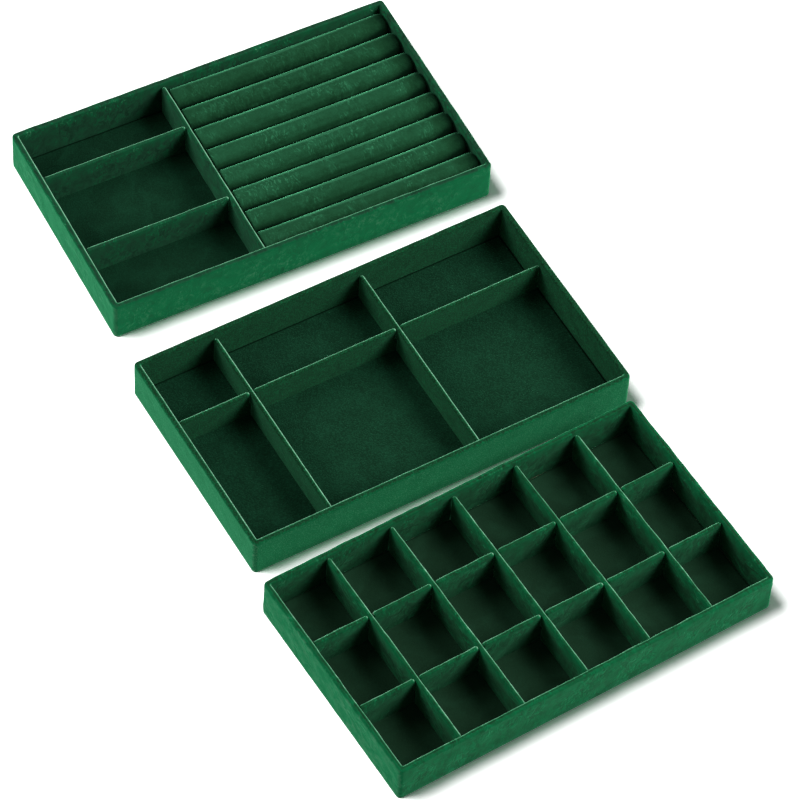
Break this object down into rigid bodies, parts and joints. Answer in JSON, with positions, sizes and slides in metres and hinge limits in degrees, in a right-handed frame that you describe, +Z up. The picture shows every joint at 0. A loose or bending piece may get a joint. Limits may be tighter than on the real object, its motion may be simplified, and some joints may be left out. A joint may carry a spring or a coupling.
{
  "type": "jewelry tray set",
  "caption": "Flat velvet-covered jewelry trays laid out as a set: a ring tray with foam rolls, a tray of large compartments and a grid tray of small cells.",
  "frame": {"origin": "centre of the middle, six-compartment tray's underside", "axes": "+X along that tray's length, +Y across it towards the ring tray, +Z up"},
  "size_m": [0.3828, 0.699, 0.0395],
  "materials": {
    "wrap_velvet": "short-pile velvet, bright where it is seen edge-on",
    "divider_velvet": "short-pile velvet, nap crushed along the edges",
    "floor_velvet": "short-pile velvet laid flat on a thin pad",
    "roll_velvet": "short-pile velvet stretched over foam, nap crushed in patches",
    "bottom_felt": "flat velvet backing, matt",
    "wall_board": "bare fibreboard",
    "divider_board": "bare grey board"
  },
  "bodies": {
    "six_tray": {"six_tray_back_wall": "wall_board", "six_tray_base_board": "wall_board", "six_tray_bottom_cover": "bottom_felt", "six_tray_floor_pad": "floor_velvet", "six_tray_front_wall": "wall_board", "six_tray_left_divider_board": "divider_board", "six_tray_left_divider_velvet": "divider_velvet", "six_tray_left_wall": "wall_board", "six_tray_long_divider_board": "divider_board", "six_tray_long_divider_velvet": "divider_velvet", "six_tray_right_divider_board": "divider_board", "six_tray_right_divider_velvet": "divider_velvet", "six_tray_right_wall": "wall_board", "six_tray_velvet_wrap": "wrap_velvet"},
    "ring_tray": {"ring_tray_back_divider_board": "divider_board", "ring_tray_back_divider_velvet": "divider_velvet", "ring_tray_back_wall": "wall_board", "ring_tray_base_board": "wall_board", "ring_tray_bottom_cover": "bottom_felt", "ring_tray_floor_pad": "floor_velvet", "ring_tray_front_divider_board": "divider_board", "ring_tray_front_divider_velvet": "divider_velvet", "ring_tray_front_wall": "wall_board", "ring_tray_left_wall": "wall_board", "ring_tray_partition_board": "divider_board", "ring_tray_partition_velvet": "divider_velvet", "ring_tray_right_wall": "wall_board", "ring_tray_ring_roll_1": "roll_velvet", "ring_tray_ring_roll_2": "roll_velvet", "ring_tray_ring_roll_3": "roll_velvet", "ring_tray_ring_roll_4": "roll_velvet", "ring_tray_ring_roll_5": "roll_velvet", "ring_tray_ring_roll_6": "roll_velvet", "ring_tray_ring_roll_7": "roll_velvet", "ring_tray_ring_roll_8": "roll_velvet", "ring_tray_velvet_wrap": "wrap_velvet"},
    "grid_tray": {"grid_tray_back_long_divider_board": "divider_board", "grid_tray_back_long_divider_velvet": "divider_velvet", "grid_tray_back_wall": "wall_board", "grid_tray_base_board": "wall_board", "grid_tray_bottom_cover": "bottom_felt", "grid_tray_cross_divider_1_board": "divider_board", "grid_tray_cross_divider_1_velvet": "divider_velvet", "grid_tray_cross_divider_2_board": "divider_board", "grid_tray_cross_divider_2_velvet": "divider_velvet", "grid_tray_cross_divider_3_board": "divider_board", "grid_tray_cross_divider_3_velvet": "divider_velvet", "grid_tray_cross_divider_4_board": "divider_board", "grid_tray_cross_divider_4_velvet": "divider_velvet", "grid_tray_cross_divider_5_board": "divider_board", "grid_tray_cross_divider_5_velvet": "divider_velvet", "grid_tray_floor_pad": "floor_velvet", "grid_tray_front_long_divider_board": "divider_board", "grid_tray_front_long_divider_velvet": "divider_velvet", "grid_tray_front_wall": "wall_board", "grid_tray_left_wall": "wall_board", "grid_tray_right_wall": "wall_board", "grid_tray_velvet_wrap": "wrap_velvet"}
  },
  "joints": [
    {"name": "ring_tray_lift", "type": "slide", "parent": "six_tray", "child": "ring_tray", "axis": [0, 0, 1], "range_m": [0, 0.15]},
    {"name": "grid_tray_lift", "type": "slide", "parent": "six_tray", "child": "grid_tray", "axis": [0, 0, 1], "range_m": [0, 0.15]}
  ]
}
